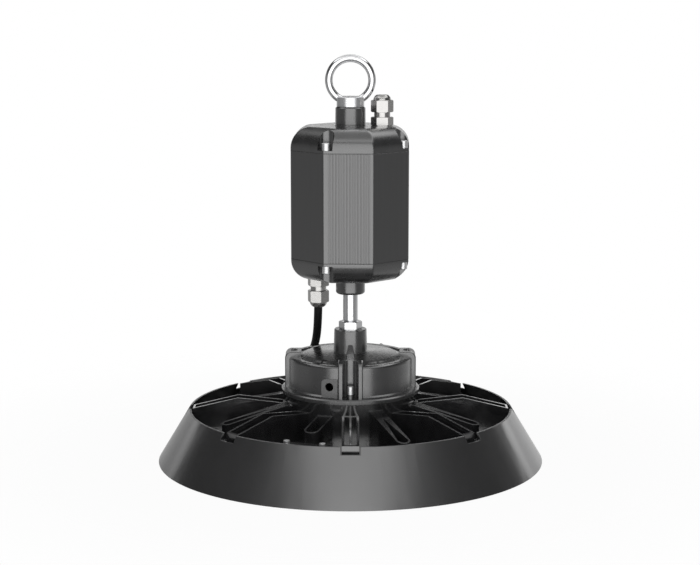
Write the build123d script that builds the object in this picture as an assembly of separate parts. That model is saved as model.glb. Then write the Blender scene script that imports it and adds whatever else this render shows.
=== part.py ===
from build123d import *
import math
import os

# A high bay light: a conical shade round a finned LED module, a round junction cover on the
# module, a link tube, and an octagonal driver box that hangs from an eye.
# Units are millimetres. The origin is the centre of the shade's bottom rim, +Z is up and the
# front is -Y. An azimuth is turned about Z from the front, positive towards +X.

# Fits
SLIDE_GAP = 0.1
THREAD_GAP = 0.05
HOLE_GAP = 0.25
TIP_GAP = 0.5

# Shade, a spun aluminium cone with a turned-in ledge
SHADE_BOTTOM_R = 200.0
SHADE_TOP_R = 167.7
SHADE_H = 53.6
SHADE_WALL = 2.0
LEDGE_Z = 26.0
LEDGE_T = 2.5
LEDGE_INSET = 5.7
NOTCH_W = 19.3
NOTCH_DEPTH = 6.9

# Heat sink, one casting: floor disc, hub, skirt for the lens, arms and fins
ARM_COUNT = 8
FLOOR_T = 4.5
FLOOR_EDGE_GAP = 6.0
HUB_R = 68.0
HUB_INNER_R = 54.0
HUB_FLOOR_T = 7.5
HUB_TOP_Z = 70.8
ROOT_DEPTH = 10.0
ARM_W = 17.0
ARM_WALL = 2.3
ARM_ROOT_Z = 59.4
ARM_ROOT_LAND = 2.0
ARM_PEAK_R = 117.0
ARM_PEAK_Z = 64.7
ARM_END_INSET = 3.7
ARM_TOE_Z = 38.0
ARM_TOE_GAP = 3.3
ARM_FOOT_DROP = 2.0
ARM_WEB_T = 2.0
ARM_WEB_DROP = 6.0
POCKET_FLOOR_T = 4.0
FIN_W = 14.6
FIN_WALL = 2.0
FIN_END_GAP = 23.0
FIN_END_Z = 47.5
FIN_RISE = 0.23
FIN_POINT_R = 84.0
SHORT_FIN_W = 16.5
SHORT_FIN_END_R = 107.0
SHORT_FIN_END_Z = 50.0
SHORT_FIN_POCKET = 9.0
SHORT_FIN_AZIMUTHS = (-22.5, 157.5)
SKIRT_GAP = 2.0
SKIRT_WALL = 10.5
SKIRT_H = 11.7
LENS_SEAT_W = 5.5
LENS_SEAT_DROP = 6.5

# Optics under the heat sink
BOARD_T = 1.6
BOARD_EDGE_GAP = 11.5
LED_SIZE = 5.0
LED_H = 0.9
LED_EDGE = 12.0
LED_RING_COUNTS = (6, 12, 18, 24, 30)
LENS_T = 4.0
LENS_GASKET_T = 1.2
LENS_RING_T = 2.4
LENS_RING_W = 19.0
LENS_RING_CHAMFER = 1.0
LENS_SCREW_EDGE = 5.5
LENS_SCREW_COUNT = 12
BOARD_SCREW_EDGE = 24.6
BOARD_SCREW_COUNT = 8
WIRE_HOLE_R = 6.0

# Cable clamp bar inside the shade's rim
CLAMP_AZIMUTHS = (-26.0, -11.0)
CLAMP_END_GAP = 22.0
CLAMP_POST_R = 4.0
CLAMP_POST_TOP_Z = 45.5
CLAMP_BAR_T = 2.5
CLAMP_BAR_W = 8.0

# Junction cover on the hub
COVER_GASKET_T = 1.0
COVER_GASKET_INSET = 1.0
FLANGE_R = 71.5
FLANGE_T = 5.0
FLANGE_EDGE = 1.2
FLANGE_FALL = 0.4
COVER_R = 64.5
COVER_WALL = 3.0
COVER_FOOT_W = 1.2
COVER_FOOT_LOW = 0.6
COVER_FOOT_H = 2.0
COVER_SHOULDER_Z = 109.4
COVER_SHOULDER_R = 3.6
COVER_GROOVE_R = 57.0
COVER_GROOVE_W = 3.0
COVER_GROOVE_DEPTH = 1.2
COVER_DISC_R = 47.0
COVER_DISC_Z = 111.2
COVER_DISC_RISE = 1.8
COVER_BOSS_R = 17.4
COVER_BOSS_TOP_R = 16.7
COVER_BOSS_TOP_Z = 136.6
COVER_BOSS_EDGE = 0.6
COVER_HOLE_DEPTH = 14.0
LUG_COUNT = 4
LUG_W = 25.0
LUG_R = 67.6
LUG_INNER_R = 51.0
LUG_SLOT_W = 17.4
LUG_CHANNEL_R = 7.0
LUG_SCREW_R = 61.5
LUG_SEAT_Z = 80.8
LUG_TOP_Z = 114.0
LUG_SIDE_EDGE_R = 1.5
LUG_TOP_EDGE_R = 6.5
LUG_COLUMN_R = 3.6
GUSSET_W = 10.4
GUSSET_TOP_W = 4.8
GUSSET_TOP_Z = 122.5
GUSSET_END_Z = 114.4
GUSSET_EDGE_R = 1.6
GUSSET_OUTER_R = 55.0
GUSSET_ROOT = 4.0
GUSSET_LAND = 2.0
PORT_AZIMUTH = -19.0
PORT_Z = 88.3
PORT_HOLE_R = 4.3
PORT_PAD_W = 17.0
PORT_PAD_H = 20.5
PORT_PAD_R = 65.6
PORT_PAD_EDGE_R = 5.0
ENTRY_AZIMUTH = 158.5
ENTRY_Z = 92.5
ENTRY_SEAT_R = 12.0
BLOCK_W = 48.0
BLOCK_DEPTH = 20.0
BLOCK_H = 18.0
BLOCK_Y = 24.0
BLOCK_POLE_COUNT = 3
BLOCK_PITCH = 15.0
BLOCK_WELL_R = 3.0
BLOCK_WELL_DEPTH = 8.0
BLOCK_WIRE_R = 2.2
BLOCK_WIRE_RISE = 6.0

# Link tube and its lock nut
TUBE_R = 7.55
TUBE_BORE_R = 4.5
TUBE_TOP_Z = 188.0
TUBE_SHOULDER_Z = 146.0
TUBE_THREAD_R = 6.5
TUBE_BOTTOM_Z = 114.0
TUBE_EDGE = 1.0
LOCK_NUT_AF = 21.0
LOCK_NUT_H = 8.0

# Driver box: extruded body between two cast caps
BOX_AF = 119.4
BOX_TURN = -1.9
BOX_WALL = 4.0
BOX_BOTTOM_Z = 190.7
BODY_BOTTOM_Z = 213.4
BODY_TOP_Z = 323.0
BOX_TOP_Z = 347.0
BOX_EDGE_R = 21.0
CAP_ROOF_T = 5.0
BOX_GASKET_T = 0.5
BOX_GASKET_INSET = 0.1
RIB_COUNT = 16
RIB_PITCH = 2.75
RIB_GROOVE_W = 1.2
RIB_GROOVE_DEPTH = 1.0
BOX_SCREW_R = 58.3
BOX_SCREW_BOSS_R = 6.0
BOX_SLOT_R = 8.2
BOX_SLOT_WALL = 2.4
BOX_SLOT_REACH = 20.0
CAP_FOOT_T = 2.6
TOP_BOSS_R = 15.5
TOP_BOSS_TOP_Z = 365.9
TOP_BOSS_EDGE = 1.2
TOP_BOSS_ROOT = 4.0
TOP_BOSS_ROOT_R = 12.5
TOP_BOSS_RING_W = 0.4
TOP_BOSS_RING_H = 0.6
TOP_BOSS_STEP_H = 0.2
TOP_BOSS_GROOVE_W = 0.2
TOP_BOSS_GROOVE_H = 0.5
BOTTOM_BOSS_R = 15.0
BOTTOM_BOSS_Z = 173.6
BOTTOM_BOSS_ROOT = 2.0
BOTTOM_BOSS_EDGE_R = 2.6

# Driver electronics
PCB_Y = 8.0
SOLDER_GAP = 0.1
PCB_T = 1.6
PCB_SIDE_GAP = 0.8
PCB_H = 96.0
RAIL_DEPTH = 3.5
RAIL_T = 2.0
RAIL_ROOT = 0.5
CORE_W = 40.0
CORE_H = 32.0
CORE_DEPTH = 26.0
CORE_STANDOFF = 4.0
CORE_RISE = 16.0
CORE_WINDOW_W = 8.0
CORE_WINDOW_H = 18.0
CORE_WINDOW_X = 12.0
WINDING_W = 23.0
WINDING_H = 17.0
WINDING_DEPTH = 34.0
CAPACITOR_R = 9.0
CAPACITOR_L = 30.0
CAPACITOR_PLACES = (-32.0, -10.0, 12.0)
CAPACITOR_RISE = -24.0
CHOKE_R = 14.0
CHOKE_BORE_R = 6.0
CHOKE_T = 16.0
CHOKE_X = 36.0
CHOKE_RISE = -21.0
TERMINAL_W = 28.0
TERMINAL_DEPTH = 16.0
TERMINAL_H = 10.0
TERMINAL_RISE = 40.6
TERMINAL_COUNT = 3
TERMINAL_PITCH = 9.0
TERMINAL_WIRE_R = 2.0
TERMINAL_WIRE_L = 6.0

# Screws: shank radius, head radius, head height
BOX_SCREW = (2.5, 4.5, 7.6)
COVER_SCREW = (2.0, 3.5, 8.2)
SHADE_SCREW = (2.0, 3.5, 2.2)
LENS_SCREW = (1.5, 2.75, 2.0)
BOARD_SCREW = (1.5, 2.75, 1.8)
CLAMP_SCREW = (1.75, 3.2, 2.4)
HEAD_EDGE_SHARE = 0.12
SOCKET_DEPTH_SHARE = 0.5
SOCKET_SIZE_SHARE = 0.75

# How far each screw reaches into the piece that holds it
BOX_SCREW_REACH = 16.0
COVER_SCREW_REACH = 14.0
SHADE_SCREW_REACH = 7.5
LENS_SCREW_REACH = 8.0
BOARD_SCREW_REACH = 3.0
CLAMP_SCREW_REACH = 9.5

# Hexagonal nuts
HEX_CORNER_SHARE = 0.5

# Cable glands, nickel-plated brass
GLAND_AF = 20.0
GLAND_HEX_H = 8.6
GLAND_NECK_R = 8.2
GLAND_NECK_H = 4.9
GLAND_SPIGOT_R = 7.2
GLAND_SPIGOT_H = 6.5
GLAND_NUT_H = 12.1
GLAND_DOME_H = 5.3
GLAND_DOME_R = 9.2
GLAND_MOUTH_R = 5.2
GLAND_MOUTH_EDGE = 0.8
GLAND_BULGE = (0.86, 0.64)
GLAND_NUT_RECESS = 1.4
GLAND_HOLE_DEPTH = 20.0
GLAND_BORE_R = 5.6
GLAND_THREAD_R = 8.0
GLAND_THREAD_L = 8.0
SEAL_H = 6.8
MAINS_SEAL_BORE_R = 4.0
MAINS_GLAND_X = 32.2
OUTPUT_GLAND_X = -33.5
OUTPUT_GLAND_Y = 25.0
OUTPUT_SEAT_DROP = 4.5
OUTPUT_SEAT_R = 12.5
OUTPUT_GLAND_TURN = -15.5

# Hanging eye
EYE_Z = 392.8
EYE_RING_R = 21.9
EYE_WIRE_R = 3.9
EYE_COLLAR_R = 14.0
EYE_COLLAR_H = 10.2
EYE_GROOVE_COUNT = 5
EYE_GROOVE_DEPTH = 0.5
EYE_COLLAR_EDGE = 0.6
EYE_SHANK_R = 5.0
EYE_SHANK_L = 16.0

# Cable from the driver to the junction cover, held at both ends
CABLE_R = 4.35
CABLE_BEND_SHARE = 0.45
CABLE_POINTS = (
    (-33.5, 25.0, 180.0),
    (-33.5, 25.0, 137.0),
    (-39.0, 76.0, 99.0),
    (-50.0, 112.0, 82.0),
    (-37.0, 143.0, 77.0),
    (-4.3, 155.5, 76.0),
    (28.7, 141.2, 80.0),
    (42.5, 107.9, 92.5),
    (21.3, 54.0, 92.5),
)

# Heights that follow from the sizes above
FLOOR_Z = LEDGE_Z + LEDGE_T
FLOOR_TOP_Z = FLOOR_Z + FLOOR_T
SKIRT_Z = FLOOR_Z - SKIRT_H
LENS_SEAT_Z = FLOOR_Z - LENS_SEAT_DROP
LENS_TOP_Z = LENS_SEAT_Z - LENS_GASKET_T
FLANGE_Z = HUB_TOP_Z + COVER_GASKET_T
COVER_WALL_Z = FLANGE_Z + FLANGE_T

# Radii that follow from the sizes above
LEDGE_INNER_R = SHADE_TOP_R - LEDGE_INSET
SKIRT_OUTER_R = LEDGE_INNER_R - SKIRT_GAP
SKIRT_INNER_R = SKIRT_OUTER_R - SKIRT_WALL
LENS_RING_INNER_R = SKIRT_OUTER_R - LENS_RING_W
LENS_SCREW_R = SKIRT_OUTER_R - LENS_SCREW_EDGE
BOARD_R = SKIRT_INNER_R - BOARD_EDGE_GAP
BOARD_SCREW_R = BOARD_R - BOARD_SCREW_EDGE
ARM_END_R = SHADE_TOP_R - ARM_END_INSET
FIN_END_R = ARM_END_R - FIN_END_GAP
CLAMP_R = ARM_END_R - CLAMP_END_GAP
ROOT_R = HUB_R - ROOT_DEPTH


def spoke(azimuth):
    """Frame with local X pointing outwards at the azimuth and local Z up."""
    return Rot(0, 0, azimuth - 90)


def turned(*outline):
    """Solid turned about Z from a closed outline of (radius, height) points."""
    face = make_face(Polyline(*outline, close=True))
    return revolve(Plane.XZ * face, axis=Axis.Z)


def rod(radius, low, high):
    """Upright cylinder from one height to another."""
    return Pos(0, 0, (low + high) / 2) * Cylinder(radius, high - low)


def block(x_range, y_range, z_range):
    """Box from its ranges along X, Y and Z."""
    size = [b - a for a, b in (x_range, y_range, z_range)]
    centre = [(a + b) / 2 for a, b in (x_range, y_range, z_range)]
    return Pos(*centre) * Box(*size)


def hexagon(across_flats, low, high):
    """Upright hexagonal prism with two flats facing -Y and +Y and its corners turned off."""
    flat_r = across_flats / 2
    prism = extrude(RegularPolygon(flat_r, 6, major_radius=False), amount=high - low)
    corner = flat_r / math.cos(math.radians(30)) - flat_r
    blank = chamfer(Cylinder(flat_r + corner, high - low).edges(), corner * HEX_CORNER_SHARE)
    solid = Pos(0, 0, low) * prism
    return solid & (Pos(0, 0, (low + high) / 2) * Part(blank.wrapped))


def at_spokes(shape, azimuths):
    """Copies of one shape at several azimuths, as one compound of separate solids."""
    return Compound(children=[spoke(a) * shape for a in azimuths])


def joined(base, tools):
    """Base with a list of solids fused to it."""
    for tool in tools:
        base = base + tool
    return base


def cut(base, tools):
    """Base with a list of solids cut out of it."""
    for tool in tools:
        base = base - tool
    return base


def screw(sizes, seat, tip):
    """Upright screw with its head on the seat and its tip at the given height."""
    shank_r, head_r, head_h = sizes
    up = 1 if tip < seat else -1
    shank = rod(shank_r, min(seat, tip), max(seat, tip))
    top = seat + up * head_h
    head = rod(head_r, min(seat, top), max(seat, top))
    head = chamfer(head.edges().group_by(Axis.Z)[-1 if up > 0 else 0], head_r * HEAD_EDGE_SHARE)
    body = Part(head.wrapped) + shank
    depth = head_h * SOCKET_DEPTH_SHARE
    hexagon_r = shank_r * SOCKET_SIZE_SHARE
    socket = extrude(RegularPolygon(hexagon_r, 6, major_radius=False), amount=depth)
    return body - Pos(0, 0, top - depth if up > 0 else top) * socket


def tapped_hole(sizes, low, reach):
    """Rod that cuts a screw's tapped hole upwards from a face."""
    return rod(sizes[0] + THREAD_GAP, low - 1, low + reach + TIP_GAP)


def arm_azimuths():
    return [i * 360 / ARM_COUNT for i in range(ARM_COUNT)]


def lug_azimuths():
    return [i * 360 / LUG_COUNT for i in range(LUG_COUNT)]


# Shade

def shade_outer_r(z):
    return SHADE_BOTTOM_R + (SHADE_TOP_R - SHADE_BOTTOM_R) * z / SHADE_H


def shade_inner_r(z):
    slope = (SHADE_BOTTOM_R - SHADE_TOP_R) / SHADE_H
    return shade_outer_r(z) - SHADE_WALL * math.hypot(1, slope)


ARM_TOE_R = shade_inner_r(ARM_TOE_Z) - ARM_TOE_GAP
SHADE_SCREW_R = (LEDGE_INNER_R + ARM_TOE_R) / 2


def shade():
    body = turned(
        (SHADE_BOTTOM_R, 0),
        (SHADE_TOP_R, SHADE_H),
        (shade_inner_r(SHADE_H), SHADE_H),
        (shade_inner_r(LEDGE_Z + LEDGE_T), LEDGE_Z + LEDGE_T),
        (LEDGE_INNER_R, LEDGE_Z + LEDGE_T),
        (LEDGE_INNER_R, LEDGE_Z),
        (shade_inner_r(LEDGE_Z), LEDGE_Z),
        (shade_inner_r(0), 0),
    )
    notch_z = SHADE_H - NOTCH_DEPTH
    notch = block((ARM_END_R - 10, SHADE_BOTTOM_R), (-NOTCH_W / 2, NOTCH_W / 2), (notch_z, SHADE_H + 10))
    hole = Pos(SHADE_SCREW_R, 0, 0) * rod(SHADE_SCREW[0] + HOLE_GAP, LEDGE_Z - 1, FLOOR_Z + 1)
    for azimuth in arm_azimuths():
        body = body - spoke(azimuth) * notch
        body = body - spoke(azimuth) * hole
    return body


def shade_screws():
    one = Pos(SHADE_SCREW_R, 0, 0) * screw(SHADE_SCREW, LEDGE_Z, FLOOR_Z + SHADE_SCREW_REACH)
    return at_spokes(one, arm_azimuths())


# Heat sink

def arm():
    """One hollow arm along local X: two walls, a floor and a low web between them."""
    base_z = FLOOR_Z + 1
    outline = (
        (ROOT_R, base_z),
        (ROOT_R, ARM_ROOT_Z),
        (HUB_R + ARM_ROOT_LAND, ARM_ROOT_Z),
        (ARM_PEAK_R, ARM_PEAK_Z),
        (ARM_END_R, SHADE_H),
        (ARM_END_R, SHADE_H - NOTCH_DEPTH - ARM_FOOT_DROP),
        (ARM_TOE_R, ARM_TOE_Z),
        (ARM_TOE_R, base_z),
    )
    side = Plane.XZ * make_face(Polyline(*outline, close=True))
    solid = extrude(side, amount=ARM_W / 2, both=True)
    pocket_z = FLOOR_TOP_Z + POCKET_FLOOR_T
    inner_w = ARM_W / 2 - ARM_WALL
    pocket_r = (HUB_R + ARM_WALL, ARM_END_R - ARM_WALL)
    pocket = block(pocket_r, (-inner_w, inner_w), (pocket_z, ARM_PEAK_Z + 1))
    lowered = Pos(0, 0, -ARM_WEB_DROP) * extrude(side, amount=ARM_WEB_T / 2, both=True)
    web = lowered & block(pocket_r, (-ARM_WEB_T, ARM_WEB_T), (pocket_z, ARM_PEAK_Z + 1))
    return solid - pocket + web


def fin(width, end_r, end_z):
    """One fin along local X with a rounded end and a top that rises towards the hub."""
    centre_r = end_r - width / 2
    half = width / 2
    plan = Pos((ROOT_R + centre_r) / 2, 0) * Rectangle(centre_r - ROOT_R, width)
    plan = plan + Pos(centre_r, 0) * Circle(half)
    solid = extrude(Pos(0, 0, FLOOR_Z + 1) * plan, amount=HUB_TOP_Z - FLOOR_Z)
    top_z = end_z + (end_r - ROOT_R) * FIN_RISE
    side = (
        (ROOT_R - 1, FLOOR_Z),
        (ROOT_R - 1, top_z),
        (end_r + 1, end_z),
        (end_r + 1, FLOOR_Z),
    )
    slope = extrude(Plane.XZ * make_face(Polyline(*side, close=True)), amount=width, both=True)
    return solid & slope


def fin_pocket():
    """Pocket of a long fin: a teardrop that runs to a point towards the hub."""
    end_r = FIN_W / 2 - FIN_WALL
    centre = FIN_END_R - FIN_W / 2
    reach = centre - FIN_POINT_R
    lean = math.asin(end_r / reach)
    touch_x = centre - end_r * math.sin(lean)
    touch_y = end_r * math.cos(lean)
    plan = make_face(Polyline((FIN_POINT_R, 0), (touch_x, touch_y), (touch_x, -touch_y), close=True))
    plan = plan + Pos(centre, 0) * Circle(end_r)
    return extrude(Pos(0, 0, FLOOR_TOP_Z + POCKET_FLOOR_T) * plan, amount=HUB_TOP_Z)


def short_fin_pocket():
    """Shallow pocket in the top of a short fin."""
    half = SHORT_FIN_W / 2 - FIN_WALL
    centre = SHORT_FIN_END_R - SHORT_FIN_W / 2
    start = HUB_R + FIN_WALL
    plan = Pos((start + centre) / 2, 0) * Rectangle(centre - start, 2 * half) + Pos(centre, 0) * Circle(half)
    return extrude(Pos(0, 0, SHORT_FIN_END_Z - SHORT_FIN_POCKET) * plan, amount=HUB_TOP_Z)


def heat_sink():
    seat_inner_r = SKIRT_INNER_R - LENS_SEAT_W
    floor_r = shade_inner_r(FLOOR_Z) - FLOOR_EDGE_GAP
    body = turned(
        (0, FLOOR_Z),
        (seat_inner_r, FLOOR_Z),
        (seat_inner_r, LENS_SEAT_Z),
        (SKIRT_INNER_R, LENS_SEAT_Z),
        (SKIRT_INNER_R, SKIRT_Z),
        (SKIRT_OUTER_R, SKIRT_Z),
        (SKIRT_OUTER_R, FLOOR_Z),
        (floor_r, FLOOR_Z),
        (floor_r, FLOOR_TOP_Z),
        (HUB_R, FLOOR_TOP_Z),
        (HUB_R, HUB_TOP_Z),
        (HUB_INNER_R, HUB_TOP_Z),
        (HUB_INNER_R, FLOOR_Z + HUB_FLOOR_T),
        (0, FLOOR_Z + HUB_FLOOR_T),
    )
    one_arm = arm()
    step = 360 / ARM_COUNT
    for azimuth in arm_azimuths():
        body = body + spoke(azimuth) * one_arm
    for i in range(ARM_COUNT):
        azimuth = (i + 0.5) * step
        if azimuth > 180:
            azimuth = azimuth - 360
        if azimuth in SHORT_FIN_AZIMUTHS:
            body = body + spoke(azimuth) * fin(SHORT_FIN_W, SHORT_FIN_END_R, SHORT_FIN_END_Z)
            body = body - spoke(azimuth) * short_fin_pocket()
        else:
            body = body + spoke(azimuth) * fin(FIN_W, FIN_END_R, FIN_END_Z)
            body = body - spoke(azimuth) * fin_pocket()
    for azimuth in CLAMP_AZIMUTHS:
        post = Pos(CLAMP_R, 0, 0) * rod(CLAMP_POST_R, FLOOR_Z + 1, CLAMP_POST_TOP_Z)
        hole_z = CLAMP_POST_TOP_Z - CLAMP_SCREW_REACH - TIP_GAP
        hole = Pos(CLAMP_R, 0, 0) * rod(CLAMP_SCREW[0] + THREAD_GAP, hole_z, CLAMP_POST_TOP_Z + 1)
        body = body + spoke(azimuth) * post
        body = body - spoke(azimuth) * hole
    body = body - rod(WIRE_HOLE_R, FLOOR_Z - 1, FLOOR_Z + HUB_FLOOR_T + 1)
    shade_hole = tapped_hole(SHADE_SCREW, FLOOR_Z, SHADE_SCREW_REACH)
    lens_hole = tapped_hole(LENS_SCREW, SKIRT_Z, LENS_SCREW_REACH)
    board_hole = tapped_hole(BOARD_SCREW, FLOOR_Z, BOARD_SCREW_REACH)
    cover_hole = rod(COVER_SCREW[0] + THREAD_GAP, HUB_TOP_Z - COVER_SCREW_REACH - TIP_GAP, HUB_TOP_Z + 1)
    for azimuth in arm_azimuths():
        body = body - spoke(azimuth) * Pos(SHADE_SCREW_R, 0, 0) * shade_hole
    for azimuth in lens_screw_azimuths():
        body = body - spoke(azimuth) * Pos(LENS_SCREW_R, 0, 0) * lens_hole
    for azimuth in board_screw_azimuths():
        body = body - spoke(azimuth) * Pos(BOARD_SCREW_R, 0, 0) * board_hole
    for azimuth in lug_azimuths():
        body = body - spoke(azimuth) * Pos(LUG_SCREW_R, 0, 0) * cover_hole
    return body


def lens_screw_azimuths():
    return [(i + 0.5) * 360 / LENS_SCREW_COUNT for i in range(LENS_SCREW_COUNT)]


def board_screw_azimuths():
    return [(i + 0.5) * 360 / BOARD_SCREW_COUNT for i in range(BOARD_SCREW_COUNT)]


# Optics

def led_board():
    body = rod(BOARD_R, FLOOR_Z - BOARD_T, FLOOR_Z) - rod(WIRE_HOLE_R, FLOOR_Z - 5, FLOOR_Z + 1)
    hole = Pos(BOARD_SCREW_R, 0, 0) * rod(BOARD_SCREW[0] + HOLE_GAP, FLOOR_Z - 5, FLOOR_Z + 1)
    for azimuth in board_screw_azimuths():
        body = body - spoke(azimuth) * hole
    return body


def led_board_screws():
    one = screw(BOARD_SCREW, FLOOR_Z - BOARD_T, FLOOR_Z + BOARD_SCREW_REACH)
    return at_spokes(Pos(BOARD_SCREW_R, 0, 0) * one, board_screw_azimuths())


def leds():
    """Square LED packages in rings on the board's underside."""
    chips = []
    z = FLOOR_Z - BOARD_T - LED_H / 2
    for ring, count in enumerate(LED_RING_COUNTS, start=1):
        ring_r = ring * (BOARD_R - LED_EDGE) / len(LED_RING_COUNTS)
        for i in range(count):
            chips.append(spoke(i * 360 / count) * Pos(ring_r, 0, z) * Box(LED_SIZE, LED_SIZE, LED_H))
    return Compound(children=chips)


def lens_gasket():
    low, high = LENS_TOP_Z, LENS_SEAT_Z
    return rod(SKIRT_INNER_R - SLIDE_GAP, low, high) - rod(SKIRT_INNER_R - LENS_SEAT_W, low - 1, high + 1)


def lens_plate():
    return rod(SKIRT_INNER_R - 2 * SLIDE_GAP, LENS_TOP_Z - LENS_T, LENS_TOP_Z)


def lens_ring():
    low, high = SKIRT_Z - LENS_RING_T, SKIRT_Z
    body = turned(
        (LENS_RING_INNER_R + LENS_RING_CHAMFER, low),
        (SKIRT_OUTER_R - LENS_RING_CHAMFER, low),
        (SKIRT_OUTER_R, low + LENS_RING_CHAMFER),
        (SKIRT_OUTER_R, high),
        (LENS_RING_INNER_R, high),
        (LENS_RING_INNER_R, low + LENS_RING_CHAMFER),
    )
    hole = Pos(LENS_SCREW_R, 0, 0) * rod(LENS_SCREW[0] + HOLE_GAP, low - 1, high + 1)
    for azimuth in lens_screw_azimuths():
        body = body - spoke(azimuth) * hole
    return body


def lens_ring_screws():
    one = screw(LENS_SCREW, SKIRT_Z - LENS_RING_T, SKIRT_Z + LENS_SCREW_REACH)
    return at_spokes(Pos(LENS_SCREW_R, 0, 0) * one, lens_screw_azimuths())


# Cable clamp bar

def clamp_points():
    return [spoke(a) * Pos(CLAMP_R, 0, 0) for a in CLAMP_AZIMUTHS]


def clamp_bar():
    """Flat bar with rounded ends on two posts of the heat sink."""
    ends = [location.position for location in clamp_points()]
    middle = (ends[0] + ends[1]) * 0.5
    length = (ends[1] - ends[0]).length
    mid_azimuth = sum(CLAMP_AZIMUTHS) / 2
    plan = SlotOverall(length + CLAMP_BAR_W, CLAMP_BAR_W, rotation=90)
    hole = Circle(CLAMP_SCREW[0] + HOLE_GAP)
    plan = plan - Pos(0, length / 2) * hole - Pos(0, -length / 2) * hole
    bar = extrude(Pos(0, 0, CLAMP_POST_TOP_Z) * plan, amount=CLAMP_BAR_T)
    return spoke(mid_azimuth) * Pos(math.hypot(middle.X, middle.Y), 0, 0) * bar


def clamp_bar_screws():
    seat = CLAMP_POST_TOP_Z + CLAMP_BAR_T
    one = screw(CLAMP_SCREW, seat, CLAMP_POST_TOP_Z - CLAMP_SCREW_REACH)
    return at_spokes(Pos(CLAMP_R, 0, 0) * one, CLAMP_AZIMUTHS)


# Junction cover

def cover_outline():
    """Half section of the cover's outer skin, closed along the axis."""
    shoulder_z = COVER_SHOULDER_Z
    with BuildLine() as line:
        l1 = Polyline(
            (0, FLANGE_Z),
            (FLANGE_R, FLANGE_Z),
            (FLANGE_R, COVER_WALL_Z - FLANGE_FALL - FLANGE_EDGE),
            (FLANGE_R - FLANGE_EDGE, COVER_WALL_Z - FLANGE_FALL),
            (COVER_R + COVER_FOOT_W, COVER_WALL_Z + COVER_FOOT_LOW),
            (COVER_R, COVER_WALL_Z + COVER_FOOT_H),
            (COVER_R, shoulder_z - COVER_SHOULDER_R),
        )
        l2 = RadiusArc(l1 @ 1, (COVER_R - COVER_SHOULDER_R, shoulder_z), -COVER_SHOULDER_R)
        l3 = Polyline(
            l2 @ 1,
            (COVER_GROOVE_R, shoulder_z),
            (COVER_GROOVE_R - COVER_GROOVE_DEPTH, shoulder_z - COVER_GROOVE_DEPTH),
            (COVER_GROOVE_R - COVER_GROOVE_W, shoulder_z - COVER_GROOVE_DEPTH),
            (COVER_DISC_R, COVER_DISC_Z),
            (COVER_BOSS_R, COVER_DISC_Z + COVER_DISC_RISE),
            (COVER_BOSS_TOP_R, COVER_BOSS_TOP_Z - COVER_BOSS_EDGE),
            (COVER_BOSS_TOP_R - COVER_BOSS_EDGE, COVER_BOSS_TOP_Z),
            (0, COVER_BOSS_TOP_Z),
            (0, FLANGE_Z),
        )
    return make_face(line.line.edges())


def lug():
    """One screw lug along local X, from the flange up to the cover's shoulder."""
    plan = Pos((LUG_R + LUG_INNER_R) / 2, 0) * Rectangle(LUG_R - LUG_INNER_R, LUG_W)
    low = COVER_WALL_Z - 1
    solid = extrude(Pos(0, 0, low) * plan, amount=LUG_TOP_Z - low)
    top_edges = solid.edges().group_by(Axis.Z)[-1].sort_by(Axis.X)[-1:]
    solid = Part(fillet(top_edges, LUG_TOP_EDGE_R).wrapped)
    side_edges = solid.edges().filter_by(Axis.Z).sort_by(Axis.X)[-2:]
    return Part(fillet(side_edges, LUG_SIDE_EDGE_R).wrapped)


def lug_slot():
    """Slot in a lug: flanks that close in on a half-round channel round the screw's column."""
    half = LUG_SLOT_W / 2
    flank = make_face(Polyline(
        (LUG_SCREW_R, LUG_CHANNEL_R),
        (LUG_R + 2, half),
        (LUG_R + 2, -half),
        (LUG_SCREW_R, -LUG_CHANNEL_R),
        close=True,
    ))
    plan = flank + Pos(LUG_SCREW_R, 0) * Circle(LUG_CHANNEL_R)
    slot = extrude(Pos(0, 0, COVER_WALL_Z) * plan, amount=COVER_DISC_Z)
    return slot - Pos(LUG_SCREW_R, 0, 0) * rod(LUG_COLUMN_R, COVER_WALL_Z - 1, LUG_SEAT_Z)


def gusset():
    """Rib on the cover's disc, from the boss out to the groove, with sloping flanks."""
    low = COVER_DISC_Z - COVER_WALL - 1
    side = make_face(Polyline(
        (COVER_BOSS_R - GUSSET_ROOT, low),
        (COVER_BOSS_R - GUSSET_ROOT, GUSSET_TOP_Z),
        (COVER_BOSS_R + GUSSET_LAND, GUSSET_TOP_Z),
        (GUSSET_OUTER_R, GUSSET_END_Z),
        (GUSSET_OUTER_R, low),
        close=True,
    ))
    wide = extrude(Plane.XZ * side, amount=GUSSET_W, both=True)
    section = make_face(Polyline(
        (-GUSSET_W / 2, low),
        (-GUSSET_TOP_W / 2, GUSSET_TOP_Z),
        (GUSSET_TOP_W / 2, GUSSET_TOP_Z),
        (GUSSET_W / 2, low),
        close=True,
    ))
    section = fillet(section.vertices().sort_by(Axis.Y)[-2:], GUSSET_EDGE_R)
    flanks = extrude(Plane.YZ * section, amount=COVER_R)
    return wide & flanks


def port_pad():
    """Flat raised pad along local X round the spare port, with one rounded corner."""
    low = COVER_WALL_Z - 1
    plan = Rectangle(PORT_PAD_W, PORT_PAD_H)
    corner = plan.vertices().sort_by(Axis.Y)[-2:].sort_by(Axis.X)[:1]
    plan = fillet(corner, PORT_PAD_EDGE_R)
    face = Plane.YZ * Pos(0, low + PORT_PAD_H / 2) * plan
    depth = PORT_PAD_R - (COVER_R - COVER_WALL)
    return Pos(COVER_R - COVER_WALL, 0, 0) * extrude(face, amount=depth)


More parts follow.
